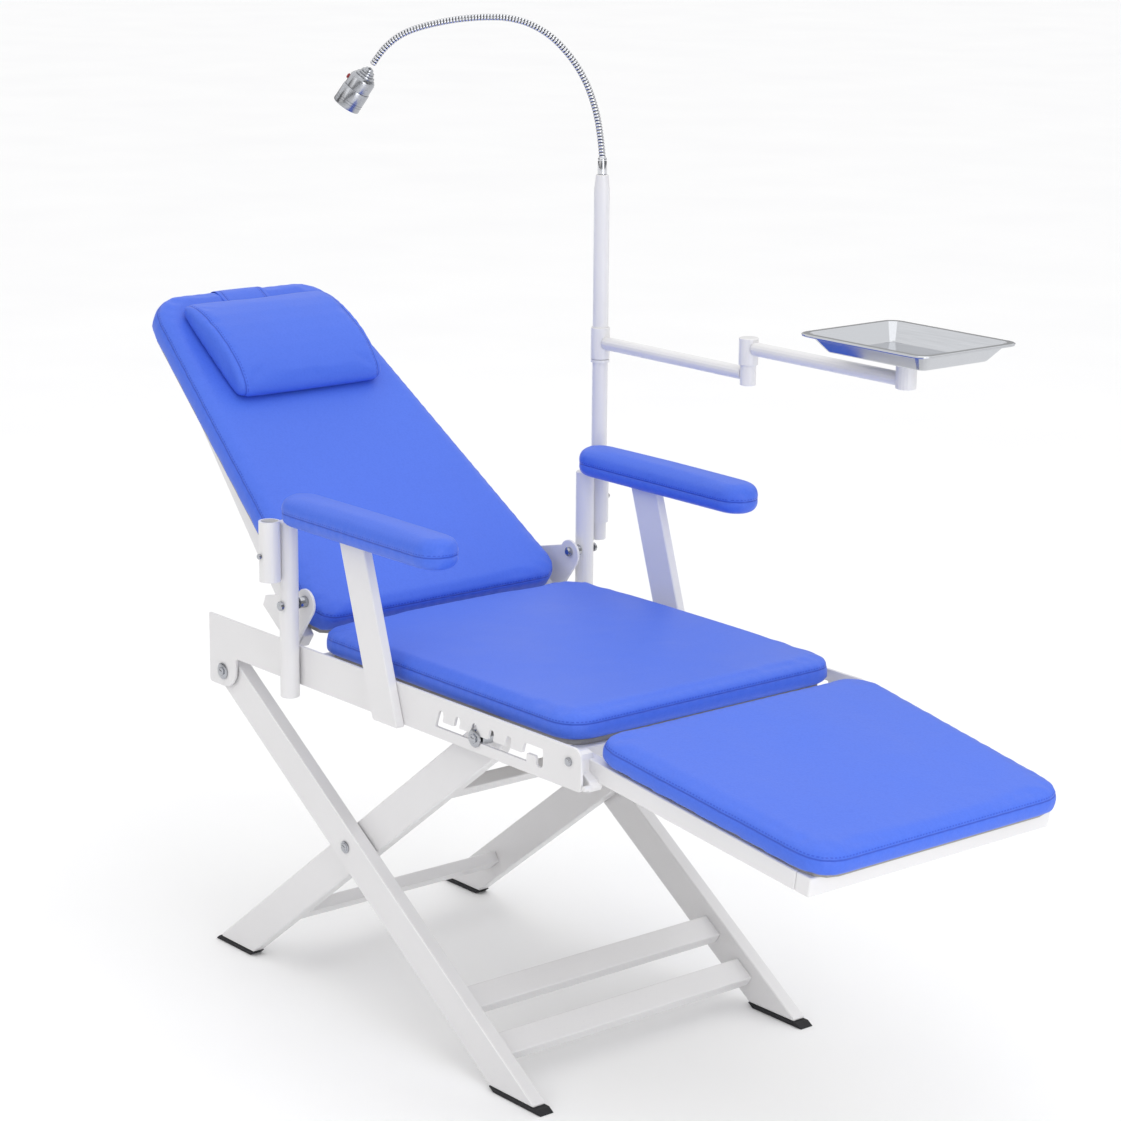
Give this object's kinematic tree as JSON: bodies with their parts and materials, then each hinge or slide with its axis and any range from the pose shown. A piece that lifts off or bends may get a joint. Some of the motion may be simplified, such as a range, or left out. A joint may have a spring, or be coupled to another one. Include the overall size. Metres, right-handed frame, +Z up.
{
  "type": "folding dental chair",
  "caption": "Portable reclining dental chair on folding scissor legs, with armrests, head pillow, footrest, gooseneck lamp and swing-arm tray.",
  "frame": {"origin": "centre of the whole chair's footprint box, on the floor", "axes": "+X from the head end towards the footrest, +Y towards the side that carries the lamp pole, +Z up"},
  "size_m": [1.6847, 0.7594, 1.4795],
  "materials": {
    "white_powder_coat": "glossy white powder coat",
    "blue_upholstery": "satin vivid-blue leatherette",
    "chrome_hardware": "bright chrome",
    "black_rubber": "matte black rubber",
    "polished_steel": "polished stainless sheet",
    "grey_board": "sealed grey plywood backing board",
    "red_plastic": "dark red plastic"
  },
  "bodies": {
    "seat_frame": {"side_rail_near": "white_powder_coat", "side_rail_far": "white_powder_coat", "seat_cross_tube_rear": "white_powder_coat", "seat_cross_tube_front": "white_powder_coat", "seat_board": "grey_board", "seat_cushion": "blue_upholstery", "armrest_upright_near": "white_powder_coat", "armrest_upright_far": "white_powder_coat", "armrest_strut_near": "white_powder_coat", "armrest_strut_far": "white_powder_coat", "armrest_pad_near": "blue_upholstery", "armrest_pad_far": "blue_upholstery", "pole_socket_near": "white_powder_coat", "pole_socket_far": "white_powder_coat", "socket_screw_near": "chrome_hardware", "socket_screw_far": "chrome_hardware", "back_pivot_bolt_near": "chrome_hardware", "back_pivot_bolt_far": "chrome_hardware", "leg_pivot_bolt_near": "chrome_hardware", "leg_pivot_bolt_far": "chrome_hardware", "footrest_pivot_bolt_near": "chrome_hardware", "footrest_pivot_bolt_far": "chrome_hardware"},
    "front_legs": {"front_leg_near": "white_powder_coat", "front_leg_far": "white_powder_coat", "leg_rung_upper": "white_powder_coat", "leg_rung_lower": "white_powder_coat", "front_foot_cap_near": "black_rubber", "front_foot_cap_far": "black_rubber", "scissor_bolt_near": "chrome_hardware", "scissor_bolt_far": "chrome_hardware"},
    "rear_legs": {"rear_leg_near": "white_powder_coat", "rear_leg_far": "white_powder_coat", "rear_leg_cross_lower": "white_powder_coat", "rear_leg_cross_upper": "white_powder_coat", "rear_foot_cap_near": "black_rubber", "rear_foot_cap_far": "black_rubber", "slot_pin_near": "chrome_hardware", "slot_pin_far": "chrome_hardware"},
    "backrest": {"back_cushion": "blue_upholstery", "back_board": "grey_board", "back_cross_bar_lower": "white_powder_coat", "back_cross_bar_upper": "white_powder_coat", "back_side_bar_near": "white_powder_coat", "back_side_bar_far": "white_powder_coat", "back_bracket_near": "white_powder_coat", "back_bracket_far": "white_powder_coat", "pillow_strap": "blue_upholstery"},
    "pillow": {"head_pillow": "blue_upholstery"},
    "footrest": {"footrest_cushion": "blue_upholstery", "footrest_board": "grey_board", "footrest_cross_bar": "white_powder_coat", "footrest_side_bar_near": "white_powder_coat", "footrest_side_bar_far": "white_powder_coat"},
    "lamp_mast": {"lamp_pole": "white_powder_coat"},
    "lamp_neck": {"gooseneck": "chrome_hardware"},
    "lamp": {"lamp_head": "chrome_hardware"},
    "lamp_button": {"lamp_switch": "red_plastic"},
    "tray_arm_one": {"tray_arm_lower": "white_powder_coat"},
    "tray_arm_two": {"tray_arm_upper": "white_powder_coat"},
    "tray": {"instrument_tray": "polished_steel"}
  },
  "joints": [
    {"name": "leg_fold", "type": "hinge", "parent": "seat_frame", "child": "front_legs", "pos_m": [-0.4569, -0.039, 0.478], "axis": [0, -1, 0], "range_deg": [-10, 17.8]},
    {"name": "leg_scissor", "type": "hinge", "parent": "front_legs", "child": "rear_legs", "pos_m": [-0.1425, -0.039, 0.2723], "axis": [0, -1, 0], "range_deg": [-34.7, 19.5]},
    {"name": "back_recline", "type": "hinge", "parent": "seat_frame", "child": "backrest", "pos_m": [-0.2479, -0.039, 0.632], "axis": [0, 1, 0], "range_deg": [0, 140]},
    {"name": "pillow_height", "type": "slide", "parent": "backrest", "child": "pillow", "axis": [-0.8151, 0, 0.5793], "range_m": [-0.12, 0.03]},
    {"name": "footrest_hinge", "type": "hinge", "parent": "seat_frame", "child": "footrest", "pos_m": [0.3921, -0.039, 0.544], "axis": [0, -1, 0], "range_deg": [0, 40]},
    {"name": "mast_height", "type": "slide", "parent": "seat_frame", "child": "lamp_mast", "axis": [0, 0, 1], "range_m": [0, 0.055]},
    {"name": "neck_swivel", "type": "hinge", "parent": "lamp_mast", "child": "lamp_neck", "pos_m": [-0.2534, 0.2807, 1.2333], "axis": [0, 0, 1], "range_deg": [-170, 170]},
    {"name": "lamp_tilt", "type": "hinge", "parent": "lamp_neck", "child": "lamp", "pos_m": [-0.53975, 0.04043, 1.3915], "axis": [0.6428, -0.766, 0], "range_deg": [-16, 16]},
    {"name": "switch_press", "type": "slide", "parent": "lamp", "child": "lamp_button", "axis": [0.6337, 0.5317, -0.5619], "range_m": [0, 0.002], "stiffness_N_per_m": 300},
    {"name": "arm_swing", "type": "hinge", "parent": "lamp_mast", "child": "tray_arm_one", "pos_m": [-0.2534, 0.2807, 0.9655], "axis": [0, 0, 1], "range_deg": [-120, 120]},
    {"name": "elbow_swing", "type": "hinge", "parent": "tray_arm_one", "child": "tray_arm_two", "pos_m": [0.0931, 0.2807, 1.0055], "axis": [0, 0, 1], "range_deg": [-145, 145]},
    {"name": "tray_turn", "type": "hinge", "parent": "tray_arm_two", "child": "tray", "pos_m": [0.4231, 0.2807, 1.04], "axis": [0, 0, 1], "continuous": true}
  ],
  "couplings": [
    {"joint": "leg_scissor", "follows": "leg_fold", "ratio": -1.945}
  ]
}
